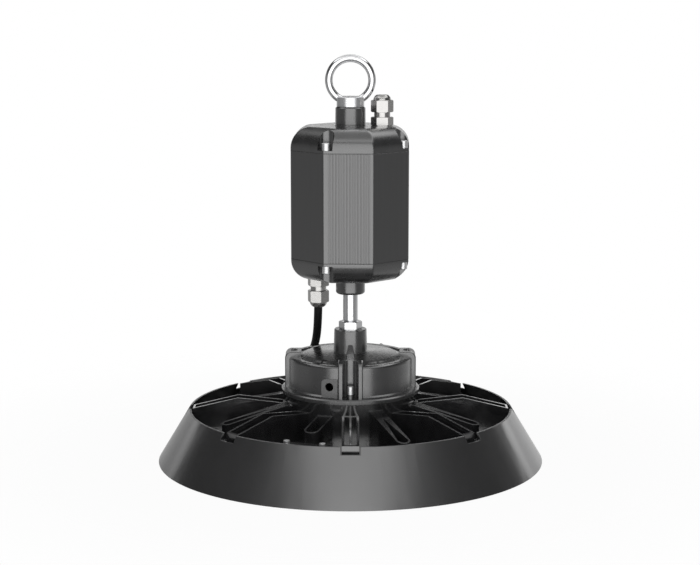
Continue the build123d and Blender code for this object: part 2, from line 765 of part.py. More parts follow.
def module_cover():
    outer = revolve(Plane.XZ * cover_outline(), axis=Axis.Z)
    inner_r = COVER_R - COVER_WALL
    cavity = turned(
        (0, FLANGE_Z - 1),
        (inner_r, FLANGE_Z - 1),
        (inner_r, COVER_SHOULDER_Z - COVER_SHOULDER_R),
        (COVER_GROOVE_R - COVER_WALL, COVER_SHOULDER_Z - COVER_SHOULDER_R),
        (COVER_DISC_R - COVER_WALL, COVER_DISC_Z - COVER_WALL),
        (0, COVER_DISC_Z - COVER_WALL),
    )
    body = outer
    lug_keep = Pos(LUG_SCREW_R, 0, 0) * rod(LUG_CHANNEL_R + COVER_WALL, FLANGE_Z - 2, LUG_TOP_Z)
    for azimuth in lug_azimuths():
        body = body + spoke(azimuth) * lug()
        cavity = cavity - spoke(azimuth) * lug_keep
    for azimuth in (0, 180):
        body = body + spoke(azimuth) * gusset()
    body = body + spoke(PORT_AZIMUTH) * port_pad()
    entry = spoke(ENTRY_AZIMUTH) * Pos(0, 0, ENTRY_Z) * Rot(0, 90, 0)
    body = body + entry * rod(ENTRY_SEAT_R, COVER_R - COVER_WALL - 2, PORT_PAD_R)
    body = body - cavity
    for azimuth in lug_azimuths():
        body = body - spoke(azimuth) * lug_slot()
        hole = Pos(LUG_SCREW_R, 0, 0) * rod(COVER_SCREW[0] + HOLE_GAP, FLANGE_Z - 1, LUG_SEAT_Z + 1)
        body = body - spoke(azimuth) * hole
    port = spoke(PORT_AZIMUTH) * Pos(0, 0, PORT_Z) * Rot(0, 90, 0)
    body = body - port * rod(PORT_HOLE_R, COVER_R - COVER_HOLE_DEPTH, LUG_R + 2)
    body = body - entry * rod(GLAND_THREAD_R + THREAD_GAP, COVER_R - COVER_HOLE_DEPTH, LUG_R + 2)
    body = body - rod(TUBE_THREAD_R + THREAD_GAP, COVER_DISC_Z - COVER_HOLE_DEPTH, COVER_BOSS_TOP_Z + 1)
    return body


def cover_gasket():
    ring = rod(HUB_R - COVER_GASKET_INSET, HUB_TOP_Z, FLANGE_Z)
    ring = ring - rod(HUB_INNER_R, HUB_TOP_Z - 1, FLANGE_Z + 1)
    hole = Pos(LUG_SCREW_R, 0, 0) * rod(COVER_SCREW[0] + HOLE_GAP, HUB_TOP_Z - 1, FLANGE_Z + 1)
    for azimuth in lug_azimuths():
        ring = ring - spoke(azimuth) * hole
    return ring


def cover_screws():
    one = screw(COVER_SCREW, LUG_SEAT_Z, HUB_TOP_Z - COVER_SCREW_REACH)
    return at_spokes(Pos(LUG_SCREW_R, 0, 0) * one, lug_azimuths())


def terminal_block():
    """Three-way terminal block on the hub's floor, with screw wells and wire holes."""
    low = FLOOR_Z + HUB_FLOOR_T
    top = low + BLOCK_H
    y_range = (BLOCK_Y - BLOCK_DEPTH / 2, BLOCK_Y + BLOCK_DEPTH / 2)
    body = block((-BLOCK_W / 2, BLOCK_W / 2), y_range, (low, top))
    for i in range(BLOCK_POLE_COUNT):
        x = (i - (BLOCK_POLE_COUNT - 1) / 2) * BLOCK_PITCH
        body = body - Pos(x, BLOCK_Y, 0) * rod(BLOCK_WELL_R, top - BLOCK_WELL_DEPTH, top + 1)
        wire = Cylinder(BLOCK_WIRE_R, BLOCK_DEPTH + 2)
        body = body - Pos(x, BLOCK_Y, low + BLOCK_WIRE_RISE) * Rot(90, 0, 0) * wire
    return body


# Link tube

def link_tube():
    return turned(
        (TUBE_BORE_R, TUBE_BOTTOM_Z),
        (TUBE_THREAD_R, TUBE_BOTTOM_Z),
        (TUBE_THREAD_R, TUBE_SHOULDER_Z - TUBE_EDGE),
        (TUBE_R, TUBE_SHOULDER_Z),
        (TUBE_R, TUBE_TOP_Z - TUBE_EDGE),
        (TUBE_R - TUBE_EDGE, TUBE_TOP_Z),
        (TUBE_BORE_R, TUBE_TOP_Z),
    )


def tube_lock_nut():
    low = COVER_BOSS_TOP_Z
    high = low + LOCK_NUT_H
    return hexagon(LOCK_NUT_AF, low, high) - rod(TUBE_THREAD_R + THREAD_GAP, low - 1, high + 1)


# Driver box, modelled square to the axes and then turned by BOX_TURN

def octagon(flat_r):
    return RegularPolygon(flat_r, 8, major_radius=False, rotation=22.5)


def box_screw_azimuths():
    return [i * 90 - 22.5 for i in range(4)]


def at_box_screws(sketch):
    """The same sketch at the four screw centres."""
    return [spoke(a) * Pos(BOX_SCREW_R, 0) * sketch for a in box_screw_azimuths()]


def driver_body():
    flat_r = BOX_AF / 2
    section = octagon(flat_r)
    for k in range(4):
        for i in range(RIB_COUNT):
            y = (i - (RIB_COUNT - 1) / 2) * RIB_PITCH
            groove = Rectangle(2 * RIB_GROOVE_DEPTH, RIB_GROOVE_W)
            section = section - Rot(0, 0, k * 90) * Pos(flat_r, y) * groove
    section = section - octagon(flat_r - BOX_WALL)
    section = joined(section, at_box_screws(Circle(BOX_SCREW_BOSS_R)))
    rail = Rectangle(RAIL_DEPTH + RAIL_ROOT, RAIL_T)
    rail_x = flat_r - BOX_WALL - (RAIL_DEPTH - RAIL_ROOT) / 2
    front_y = PCB_Y - SLIDE_GAP - RAIL_T / 2
    back_y = PCB_Y + PCB_T + SLIDE_GAP + RAIL_T / 2
    for side in (-1, 1):
        section = section + Pos(side * rail_x, front_y) * rail + Pos(side * rail_x, back_y) * rail
    section = cut(section, at_box_screws(Circle(BOX_SCREW[0] + THREAD_GAP)))
    return extrude(Pos(0, 0, BODY_BOTTOM_Z) * section, amount=BODY_TOP_Z - BODY_BOTTOM_Z)


def box_gasket(z):
    flat_r = BOX_AF / 2
    section = octagon(flat_r - BOX_GASKET_INSET) - octagon(flat_r - BOX_WALL)
    section = joined(section, at_box_screws(Circle(BOX_SCREW_BOSS_R - BOX_GASKET_INSET)))
    section = cut(section, at_box_screws(Circle(BOX_SCREW[0] + HOLE_GAP)))
    return extrude(Pos(0, 0, z) * section, amount=BOX_GASKET_T)


def cap_shell(height):
    """Cap with its seam at z = 0 and its closed end at the given height."""
    flat_r = BOX_AF / 2
    outer = extrude(octagon(flat_r), amount=height)
    outer = Part(fillet(outer.edges().group_by(Axis.Z)[-1], BOX_EDGE_R).wrapped)
    inner_h = height - CAP_ROOF_T
    inner = extrude(octagon(flat_r - BOX_WALL), amount=inner_h)
    inner = Part(fillet(inner.edges().group_by(Axis.Z)[-1], BOX_EDGE_R - CAP_ROOF_T).wrapped)
    inner = cut(inner, [spoke(a) * Pos(BOX_SCREW_R, 0, 0) * rod(BOX_SLOT_R + BOX_SLOT_WALL, -1, height)
                        for a in box_screw_azimuths()])
    body = outer - inner
    slot = rod(BOX_SLOT_R, CAP_FOOT_T, height + 1)
    slot = slot + block((0, BOX_SLOT_REACH), (-BOX_SLOT_R, BOX_SLOT_R), (CAP_FOOT_T, height + 1))
    hole = rod(BOX_SCREW[0] + HOLE_GAP, -1, CAP_FOOT_T + 1)
    for azimuth in box_screw_azimuths():
        body = body - spoke(azimuth) * Pos(BOX_SCREW_R, 0, 0) * slot
        body = body - spoke(azimuth) * Pos(BOX_SCREW_R, 0, 0) * hole
    return body


TOP_SEAM_Z = BODY_TOP_Z + BOX_GASKET_T
BOTTOM_SEAM_Z = BODY_BOTTOM_Z - BOX_GASKET_T
TURN = Rot(0, 0, BOX_TURN)


def driver_top_cap():
    body = TURN * Pos(0, 0, TOP_SEAM_Z) * cap_shell(BOX_TOP_Z - TOP_SEAM_Z)
    root_z = BOX_TOP_Z - CAP_ROOF_T - TOP_BOSS_ROOT
    ring_r = TOP_BOSS_R + TOP_BOSS_RING_W
    groove_r = TOP_BOSS_R - TOP_BOSS_GROOVE_W
    ring_z = BOX_TOP_Z + TOP_BOSS_RING_H
    groove_z = ring_z + TOP_BOSS_STEP_H
    body = body + turned(
        (0, root_z),
        (TOP_BOSS_ROOT_R, root_z),
        (ring_r, BOX_TOP_Z - 1),
        (ring_r, ring_z),
        (groove_r, groove_z),
        (groove_r, groove_z + TOP_BOSS_GROOVE_H),
        (TOP_BOSS_R, groove_z + TOP_BOSS_GROOVE_H + TOP_BOSS_STEP_H),
        (groove_r, TOP_BOSS_TOP_Z - TOP_BOSS_EDGE),
        (groove_r - TOP_BOSS_EDGE, TOP_BOSS_TOP_Z),
        (0, TOP_BOSS_TOP_Z),
    )
    body = body - rod(EYE_SHANK_R + THREAD_GAP, TOP_BOSS_TOP_Z - EYE_SHANK_L - 1, TOP_BOSS_TOP_Z + 1)
    gland_hole = rod(GLAND_THREAD_R + THREAD_GAP, BOX_TOP_Z - GLAND_HOLE_DEPTH, BOX_TOP_Z + 1)
    return body - Pos(MAINS_GLAND_X, 0, 0) * gland_hole


def driver_bottom_cap():
    shell = cap_shell(BOTTOM_SEAM_Z - BOX_BOTTOM_Z)
    body = TURN * Pos(0, 0, BOTTOM_SEAM_Z) * mirror(shell, about=Plane.XY)
    root_z = BOX_BOTTOM_Z + CAP_ROOF_T + BOTTOM_BOSS_ROOT
    boss = turned(
        (0, root_z),
        (BOTTOM_BOSS_R, root_z),
        (BOTTOM_BOSS_R, BOTTOM_BOSS_Z),
        (0, BOTTOM_BOSS_Z),
    )
    boss = Part(fillet(boss.edges().group_by(Axis.Z)[0], BOTTOM_BOSS_EDGE_R).wrapped)
    body = body + boss
    seat_z = BOX_BOTTOM_Z - OUTPUT_SEAT_DROP
    gland = Pos(OUTPUT_GLAND_X, OUTPUT_GLAND_Y, 0)
    body = body + gland * rod(OUTPUT_SEAT_R, seat_z, BOX_BOTTOM_Z + CAP_ROOF_T)
    body = body - gland * rod(GLAND_THREAD_R + THREAD_GAP, seat_z - 1, seat_z + GLAND_HOLE_DEPTH)
    return body - rod(TUBE_R + THREAD_GAP, BOTTOM_BOSS_Z - 1, root_z + 1)


def top_cap_screws():
    seat = TOP_SEAM_Z + CAP_FOOT_T
    one = Pos(BOX_SCREW_R, 0, 0) * screw(BOX_SCREW, seat, BODY_TOP_Z - BOX_SCREW_REACH)
    return Compound(children=[TURN * spoke(a) * one for a in box_screw_azimuths()])


def bottom_cap_screws():
    seat = BOTTOM_SEAM_Z - CAP_FOOT_T
    one = Pos(BOX_SCREW_R, 0, 0) * screw(BOX_SCREW, seat, BODY_BOTTOM_Z + BOX_SCREW_REACH)
    return Compound(children=[TURN * spoke(a) * one for a in box_screw_azimuths()])


# Driver electronics

PCB_MIDDLE_Z = (BODY_BOTTOM_Z + BODY_TOP_Z) / 2
PCB_FRONT_Y = PCB_Y - SOLDER_GAP


def across(middle, size):
    """Range of the given size about its middle."""
    return (middle - size / 2, middle + size / 2)


def driver_board():
    width = BOX_AF - 2 * BOX_WALL - 2 * PCB_SIDE_GAP
    return TURN * block(across(0, width), (PCB_Y, PCB_Y + PCB_T), across(PCB_MIDDLE_Z, PCB_H))


def transformer():
    """Ferrite core with a winding on its middle leg."""
    z = PCB_MIDDLE_Z + CORE_RISE
    back_y = PCB_FRONT_Y - CORE_STANDOFF
    core = block(across(0, CORE_W), (back_y - CORE_DEPTH, back_y), across(z, CORE_H))
    window_y = (back_y - CORE_DEPTH - 1, back_y + 1)
    for side in (-1, 1):
        core = core - block(across(side * CORE_WINDOW_X, CORE_WINDOW_W), window_y, across(z, CORE_WINDOW_H))
    winding = block(across(0, WINDING_W), (PCB_FRONT_Y - WINDING_DEPTH, PCB_FRONT_Y), across(z, WINDING_H))
    return TURN * (core + winding)


def capacitors():
    can = Pos(0, PCB_FRONT_Y - CAPACITOR_L / 2, PCB_MIDDLE_Z + CAPACITOR_RISE) * Rot(90, 0, 0) * Cylinder(
        CAPACITOR_R, CAPACITOR_L)
    return TURN * Compound(children=[Pos(x, 0, 0) * can for x in CAPACITOR_PLACES])


def choke():
    """Wound ring core standing on the board."""
    ring = Cylinder(CHOKE_R, CHOKE_T) - Cylinder(CHOKE_BORE_R, CHOKE_T + 2)
    place = Pos(CHOKE_X, PCB_FRONT_Y - CHOKE_T / 2, PCB_MIDDLE_Z + CHOKE_RISE)
    return TURN * place * Rot(90, 0, 0) * ring


def board_terminals():
    """Two rows of terminals whose wire holes face the ends of the box."""
    rows = []
    for side in (-1, 1):
        z = PCB_MIDDLE_Z + side * TERMINAL_RISE
        end_z = z + side * TERMINAL_H / 2
        hole_z = sorted((end_z - side * TERMINAL_WIRE_L, end_z + side))
        row = block(across(0, TERMINAL_W), (PCB_FRONT_Y - TERMINAL_DEPTH, PCB_FRONT_Y), across(z, TERMINAL_H))
        for i in range(TERMINAL_COUNT):
            x = (i - (TERMINAL_COUNT - 1) / 2) * TERMINAL_PITCH
            row = row - Pos(x, PCB_FRONT_Y - TERMINAL_DEPTH / 2, 0) * rod(TERMINAL_WIRE_R, *hole_z)
        rows.append(row)
    return TURN * Compound(children=rows)


# Glands, modelled along +Z with the seat at z = 0

def gland_body():
    neck_z = GLAND_HEX_H + GLAND_NECK_H
    body = hexagon(GLAND_AF, 0, GLAND_HEX_H)
    body = body + rod(GLAND_NECK_R, GLAND_HEX_H - 1, neck_z)
    body = body + rod(GLAND_SPIGOT_R, neck_z - 1, neck_z + GLAND_SPIGOT_H)
    body = body + rod(GLAND_THREAD_R, -GLAND_THREAD_L, 1)
    return body - rod(GLAND_BORE_R, -GLAND_THREAD_L - 1, neck_z + GLAND_SPIGOT_H + 1)


def gland_nut():
    low = GLAND_HEX_H + GLAND_NECK_H
    shoulder = low + GLAND_NUT_H
    body = hexagon(GLAND_AF, low, shoulder)
    with BuildLine() as line:
        a = Line((0, shoulder - 1), (GLAND_DOME_R, shoulder - 1))
        b = Line(a @ 1, (GLAND_DOME_R, shoulder))
        bulge = (GLAND_DOME_R * GLAND_BULGE[0], shoulder + GLAND_DOME_H * GLAND_BULGE[1])
        c = ThreePointArc(b @ 1, bulge, (GLAND_MOUTH_R + GLAND_MOUTH_EDGE, shoulder + GLAND_DOME_H))
        d = Line(c @ 1, (0, shoulder + GLAND_DOME_H))
        Line(d @ 1, a @ 0)
    dome = revolve(Plane.XZ * make_face(line.line.edges()), axis=Axis.Z)
    body = body + dome
    body = body - rod(GLAND_SPIGOT_R + THREAD_GAP, low - 1, shoulder + GLAND_NUT_RECESS)
    return body - rod(GLAND_MOUTH_R, low, shoulder + GLAND_DOME_H + 1)


def gland_seal(bore_r):
    low = GLAND_HEX_H + GLAND_NECK_H + GLAND_SPIGOT_H
    return rod(GLAND_SPIGOT_R - SLIDE_GAP, low, low + SEAL_H) - rod(bore_r, low - 1, low + SEAL_H + 1)


MAINS_PLACE = Pos(MAINS_GLAND_X, 0, BOX_TOP_Z)
OUTPUT_PLACE = (
    Pos(OUTPUT_GLAND_X, OUTPUT_GLAND_Y, BOX_BOTTOM_Z - OUTPUT_SEAT_DROP)
    * Rot(0, 0, OUTPUT_GLAND_TURN)
    * Rot(180, 0, 0)
)
MODULE_PLACE = spoke(ENTRY_AZIMUTH) * Pos(PORT_PAD_R, 0, ENTRY_Z) * Rot(0, 90, 0)


# Hanging eye

def hanging_eye():
    low = TOP_BOSS_TOP_Z
    points = [(0, low), (EYE_COLLAR_R - EYE_COLLAR_EDGE, low), (EYE_COLLAR_R, low + EYE_COLLAR_EDGE)]
    pitch = (EYE_COLLAR_H - 2 * EYE_COLLAR_EDGE) / EYE_GROOVE_COUNT
    for i in range(EYE_GROOVE_COUNT):
        z = low + EYE_COLLAR_EDGE + i * pitch
        points.append((EYE_COLLAR_R, z + pitch * 0.5))
        points.append((EYE_COLLAR_R - EYE_GROOVE_DEPTH, z + pitch * 0.75))
        points.append((EYE_COLLAR_R, z + pitch))
    points.append((EYE_COLLAR_R - EYE_COLLAR_EDGE, low + EYE_COLLAR_H))
    points.append((0, low + EYE_COLLAR_H))
    collar = turned(*points)
    ring = Pos(0, 0, EYE_Z) * Rot(90, 0, 0) * Torus(EYE_RING_R, EYE_WIRE_R)
    return collar + ring + rod(EYE_SHANK_R, low - EYE_SHANK_L, low + 1)


# Cable

def corner_radii(points):
    """Radius of the arc at each corner: as large as its two runs allow."""
    radii = []
    for a, b, c in zip(points, points[1:], points[2:]):
        run_in, run_out = Vector(*b) - Vector(*a), Vector(*c) - Vector(*b)
        shorter = min(run_in.length, run_out.length)
        half_turn = math.radians(run_in.get_angle(run_out)) / 2
        radii.append(CABLE_BEND_SHARE * shorter / math.tan(half_turn))
    return radii


def output_cable():
    radii = corner_radii(CABLE_POINTS)
    path = FilletPolyline(*CABLE_POINTS, radius=radii)
    section = Plane(origin=path @ 0, z_dir=path % 0) * Circle(CABLE_R)
    tube = sweep(section, path=path)
    area = math.pi * CABLE_R ** 2
    print("cable radii", [round(r, 1) for r in radii])
    print("cable length", round(path.length, 1), "volume ratio", round(tube.volume / (area * path.length), 5))
    return tube


NODES = {
    "hanging_eye": hanging_eye,
    "driver_top_cap": driver_top_cap,
    "driver_body": lambda: TURN * driver_body(),
    "driver_bottom_cap": driver_bottom_cap,
    "top_cap_gasket": lambda: TURN * box_gasket(BODY_TOP_Z),
    "bottom_cap_gasket": lambda: TURN * box_gasket(BOTTOM_SEAM_Z),
    "top_cap_screws": top_cap_screws,
    "bottom_cap_screws": bottom_cap_screws,
    "driver_board": driver_board,
    "transformer": transformer,
    "capacitors": capacitors,
    "choke": choke,
    "board_terminals": board_terminals,
    "mains_gland_body": lambda: MAINS_PLACE * gland_body(),
    "mains_gland_nut": lambda: MAINS_PLACE * gland_nut(),
    "mains_gland_seal": lambda: MAINS_PLACE * gland_seal(MAINS_SEAL_BORE_R),
    "output_gland_body": lambda: OUTPUT_PLACE * gland_body(),
    "output_gland_nut": lambda: OUTPUT_PLACE * gland_nut(),
    "output_gland_seal": lambda: OUTPUT_PLACE * gland_seal(CABLE_R + THREAD_GAP),
    "module_gland_body": lambda: MODULE_PLACE * gland_body(),
    "module_gland_nut": lambda: MODULE_PLACE * gland_nut(),
    "module_gland_seal": lambda: MODULE_PLACE * gland_seal(CABLE_R + THREAD_GAP),
    "output_cable": output_cable,
    "link_tube": link_tube,
    "tube_lock_nut": tube_lock_nut,
    "module_cover": module_cover,
    "cover_gasket": cover_gasket,
    "cover_screws": cover_screws,
    "terminal_block": terminal_block,
    "heat_sink": heat_sink,
    "led_board": led_board,
    "led_board_screws": led_board_screws,
    "leds": leds,
    "lens_gasket": lens_gasket,
    "lens_plate": lens_plate,
    "lens_ring": lens_ring,
    "lens_ring_screws": lens_ring_screws,
    "shade": shade,
    "shade_screws": shade_screws,
    "clamp_bar": clamp_bar,
    "clamp_bar_screws": clamp_bar_screws,
}

os.makedirs("parts", exist_ok=True)
for name, make in NODES.items():
    export_step(make(), f"parts/{name}.step")
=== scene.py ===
import math
import bpy
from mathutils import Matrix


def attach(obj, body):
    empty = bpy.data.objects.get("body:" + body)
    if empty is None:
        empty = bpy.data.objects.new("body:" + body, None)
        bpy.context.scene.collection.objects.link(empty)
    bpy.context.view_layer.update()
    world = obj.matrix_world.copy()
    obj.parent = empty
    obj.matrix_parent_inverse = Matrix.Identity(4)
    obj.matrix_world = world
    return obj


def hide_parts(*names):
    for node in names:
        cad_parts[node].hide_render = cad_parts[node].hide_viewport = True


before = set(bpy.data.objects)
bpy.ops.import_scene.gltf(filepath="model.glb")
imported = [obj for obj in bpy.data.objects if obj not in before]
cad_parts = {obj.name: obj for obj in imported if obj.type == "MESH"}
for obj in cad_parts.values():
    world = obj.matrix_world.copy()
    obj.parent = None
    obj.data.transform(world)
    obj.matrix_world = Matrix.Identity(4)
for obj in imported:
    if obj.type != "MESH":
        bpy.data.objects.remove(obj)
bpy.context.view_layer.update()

# Camera: a long lens 1.8 metres away, a little above the lamp's middle and straight in front of
# it, as the photograph was taken.

camera_data = bpy.data.cameras.new("camera")
camera_data.lens = 92.57
camera_data.sensor_width = 36.0
camera_data.clip_start = 0.05
camera_data.clip_end = 50.0
camera = bpy.data.objects.new("camera", camera_data)
camera.location = (-0.00046, -1.8328, 0.490)
camera.rotation_euler = (math.radians(80.546), 0.0, 0.0)
bpy.context.scene.collection.objects.link(camera)
bpy.context.scene.camera = camera
bpy.context.scene.view_settings.view_transform = "Standard"

# Driver box caps: two aluminium pressure castings with a deep round edge, a boss in the middle
# and a slot for the screw at every second corner. They are powder coated satin black, which fills
# the sharp edges a little, and they close the box at both ends.


def linear(hex_colour):
    """Scene-linear colour of an sRGB hex code."""
    channels = [int(hex_colour[i:i + 2], 16) / 255 for i in (1, 3, 5)]
    return [c / 12.92 if c <= 0.04045 else ((c + 0.055) / 1.055) ** 2.4 for c in channels] + [1.0]


def add_node(material, kind, inputs, **settings):
    """Adds a shader node. inputs gives each socket a value, or another node's output."""
    tree = material.node_tree
    node = tree.nodes.new(kind)
    for name, value in settings.items():
        setattr(node, name, value)
    for name, value in inputs.items():
        if isinstance(value, bpy.types.NodeSocket):
            tree.links.new(value, node.inputs[name])
        else:
            node.inputs[name].default_value = value
    return node


def new_material(name, **constants):
    """Material with one principled shader whose plain numbers are set on its own sockets."""
    material = bpy.data.materials.new(name)
    material.use_nodes = True
    shader = material.node_tree.nodes["Principled BSDF"]
    for socket, value in constants.items():
        shader.inputs[socket.replace("_", " ")].default_value = value
    return material


def drive(material, socket, output):
    """Feeds a node's output to a socket of the material's principled shader."""
    shader = material.node_tree.nodes["Principled BSDF"]
    material.node_tree.links.new(output, shader.inputs[socket])


def place_on_object(material, stretch=(1.0, 1.0, 1.0)):
    """The object's own coordinates in metres, stretched along the axes."""
    where = add_node(material, "ShaderNodeTexCoord", {})
    inputs = {"Vector": where.outputs["Object"], "Scale": stretch}
    return add_node(material, "ShaderNodeMapping", inputs).outputs[0]


def noise(material, vector, size, detail=2.0):
    """Noise whose patches are about the given size, in metres."""
    inputs = {"Vector": vector, "Scale": 1.0 / size, "Detail": detail, "Roughness": 0.5}
    return add_node(material, "ShaderNodeTexNoise", inputs).outputs["Fac"]


def spread(material, value, low, high, from_low=0.35, from_high=0.65):
    """Turns a noise value into a range of numbers."""
    inputs = {"Value": value, "From Min": from_low, "From Max": from_high, "To Min": low, "To Max": high}
    return add_node(material, "ShaderNodeMapRange", inputs).outputs[0]


def tint(material, value, dark, light):
    """Colour between two hex colours."""
    ramp = add_node(material, "ShaderNodeValToRGB", {"Fac": value})
    ramp.color_ramp.elements[0].position = 0.35
    ramp.color_ramp.elements[0].color = linear(dark)
    ramp.color_ramp.elements[1].position = 0.65
    ramp.color_ramp.elements[1].color = linear(light)
    return ramp.outputs["Color"]


def raise_surface(material, height, depth):
    """Bump of the given depth in metres."""
    inputs = {"Height": height, "Distance": depth, "Strength": 1.0}
    drive(material, "Normal", add_node(material, "ShaderNodeBump", inputs).outputs["Normal"])


SAME_POINT = 0.000002
FLAT_WITHIN = math.radians(0.4)
SHARP_EDGE = math.radians(32)
SMOOTH_BEND = math.radians(40)


def merged_copy(name):
    """Copy of a CAD node with its triangles joined and its flat faces made whole."""
    copy = bpy.data.objects.new(name + "_finished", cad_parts[name].data.copy())
    bpy.context.scene.collection.objects.link(copy)
    bpy.ops.object.select_all(action="DESELECT")
    copy.select_set(True)
    bpy.context.view_layer.objects.active = copy
    bpy.ops.object.mode_set(mode="EDIT")
    bpy.ops.mesh.select_all(action="SELECT")
    bpy.ops.mesh.remove_doubles(threshold=SAME_POINT)
    bpy.ops.mesh.dissolve_limited(angle_limit=FLAT_WITHIN)
    bpy.ops.object.mode_set(mode="OBJECT")
    copy.data.materials.clear()
    return copy


def round_edges(piece, width, segments=2):
    """Rounds the sharp edges and keeps the flat faces flat in the shading."""
    bevel = piece.modifiers.new("edge", "BEVEL")
    bevel.width = width
    bevel.segments = segments
    bevel.limit_method = "ANGLE"
    bevel.angle_limit = SHARP_EDGE
    bevel.miter_outer = "MITER_ARC"
    bpy.ops.object.modifier_apply(modifier=bevel.name)
    bpy.ops.object.shade_smooth_by_angle(angle=SMOOTH_BEND)
    weighted = piece.modifiers.new("flats", "WEIGHTED_NORMAL")
    weighted.keep_sharp = True
    bpy.ops.object.modifier_apply(modifier=weighted.name)


def finish_node(name, material, edge=0.0, segments=2, shaping=None):
    """Finished piece of a CAD node: its own shape, with rounded edges and the real surface."""
    piece = merged_copy(name)
    if shaping:
        shaping(piece)
    if edge > 0:
        round_edges(piece, edge, segments)
    else:
        bpy.ops.object.shade_smooth_by_angle(angle=SHARP_EDGE)
    piece.data.materials.append(material)
    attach(piece, "root")
    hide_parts(name)
    return piece


def coat_node(name, material):
    """Gives a hidden CAD node its real surface."""
    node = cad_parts[name]
    node.data.materials.clear()
    node.data.materials.append(material)


# Satin powder coat on a casting: a fine orange peel that breaks the reflections up a little,
# and patches that are slightly more matt.
powder_coat = new_material("satin_black_powder_coat", Specular_IOR_Level=1.0, Coat_Weight=1.0,
                           Coat_Roughness=0.22, Coat_IOR=1.8)
coat_place = place_on_object(powder_coat)
coat_patches = noise(powder_coat, coat_place, 0.012)
drive(powder_coat, "Base Color", tint(powder_coat, coat_patches, "#1C1C1D", "#222223"))
drive(powder_coat, "Roughness", spread(powder_coat, coat_patches, 0.24, 0.34))
raise_surface(powder_coat, noise(powder_coat, coat_place, 0.0009, detail=2.0), 0.0000015)

BOX_TURN = math.radians(-1.9)
BOX_CORNER = 0.0017
BOX_CORNER_INNER_R = 0.046
NEAR_CORNER = 0.0001
LEVEL = 0.00001
CAP_EDGE = 0.00018


def soften_corners(piece):
    """Rounds the four corners of the box that have no screw, along their whole height."""
    mesh = piece.data
    weight = mesh.attributes.new("bevel_weight_edge", "FLOAT", "EDGE")
    for edge in mesh.edges:
        ends = [mesh.vertices[i].co for i in edge.vertices]
        on_corner = True
        for end in ends:
            quarter = (math.atan2(end.y, end.x) - BOX_TURN - math.radians(22.5)) % math.radians(90)
            off = min(quarter, math.radians(90) - quarter) * math.hypot(end.x, end.y)
            if off > NEAR_CORNER or math.hypot(end.x, end.y) < BOX_CORNER_INNER_R:
                on_corner = False
        if on_corner and abs(ends[0].z - ends[1].z) > LEVEL:
            weight.data[edge.index].value = 1.0
    rounding = piece.modifiers.new("corners", "BEVEL")
    rounding.width = BOX_CORNER
    rounding.segments = 6
    rounding.limit_method = "WEIGHT"
    rounding.use_clamp_overlap = False
    bpy.ops.object.modifier_apply(modifier=rounding.name)


for end in ("top", "bottom"):
    finish_node(f"driver_{end}_cap", powder_coat, CAP_EDGE, shaping=soften_corners)

# Driver body: an eight-sided aluminium extrusion, with sixteen fine grooves in each of four
# of its sides. It is coated satin black, and a cap is screwed to each of its ends.

BODY_EDGE = 0.00015

# Coat on the extrusion: faint lines along the pull, and the ribs as they left the die.
extrusion_coat = new_material("black_coated_extrusion", Specular_IOR_Level=1.0, Coat_Weight=1.0,
                              Coat_Roughness=0.1, Coat_IOR=1.8)
pull_place = place_on_object(extrusion_coat, (1.0, 1.0, 0.012))
pull_lines = noise(extrusion_coat, pull_place, 0.0015, detail=2.0)
drive(extrusion_coat, "Base Color", tint(extrusion_coat, pull_lines, "#1C1C1D", "#212122"))
drive(extrusion_coat, "Roughness", spread(extrusion_coat, pull_lines, 0.28, 0.32))
raise_surface(extrusion_coat, pull_lines, 0.0000004)

finish_node("driver_body", extrusion_coat, BODY_EDGE, segments=1, shaping=soften_corners)

# Gaskets of the box: soft black rubber cut from sheet, squeezed between the body and each cap.

seal_rubber = new_material("black_seal_rubber")
rubber_grain = noise(seal_rubber, place_on_object(seal_rubber), 0.0005, detail=4.0)
drive(seal_rubber, "Base Color", tint(seal_rubber, rubber_grain, "#282828", "#323232"))
drive(seal_rubber, "Roughness", spread(seal_rubber, rubber_grain, 0.45, 0.6))
raise_surface(seal_rubber, rubber_grain, 0.00002)

finish_node("top_cap_gasket", seal_rubber)
finish_node("bottom_cap_gasket", seal_rubber)

# Corner screws of the box: M5 socket head screws of bright steel, four in each cap, which run
# through the cap into threads in the body's corners.

SCREW_EDGE = 0.0002

# Bright screw steel: pressed heads with a fine grain and a few duller spots.
screw_steel = new_material("bright_screw_steel", Metallic=1.0)
steel_grain = noise(screw_steel, place_on_object(screw_steel), 0.0004, detail=3.0)
drive(screw_steel, "Base Color", tint(screw_steel, steel_grain, "#DEDFE0", "#F0F0F0"))
drive(screw_steel, "Roughness", spread(screw_steel, steel_grain, 0.36, 0.44))
raise_surface(screw_steel, steel_grain, 0.000002)

finish_node("top_cap_screws", screw_steel, SCREW_EDGE)
finish_node("bottom_cap_screws", screw_steel, SCREW_EDGE)

# Driver board with its parts: a green circuit board in the body's rails, a ferrite transformer,
# three sleeved capacitors, a wound ring core and two rows of terminals.

# Solder mask: green lacquer over copper tracks, which show as slightly lighter lines.
solder_mask = new_material("green_solder_mask", Coat_Weight=0.4, Coat_Roughness=0.2)
track_place = place_on_object(solder_mask, (1.0, 0.05, 1.0))
tracks = noise(solder_mask, track_place, 0.006, detail=1.0)
drive(solder_mask, "Base Color", tint(solder_mask, tracks, "#0E4A2C", "#1B6A41"))
drive(solder_mask, "Roughness", spread(solder_mask, tracks, 0.3, 0.45))
raise_surface(solder_mask, tracks, 0.00003)
coat_node("driver_board", solder_mask)

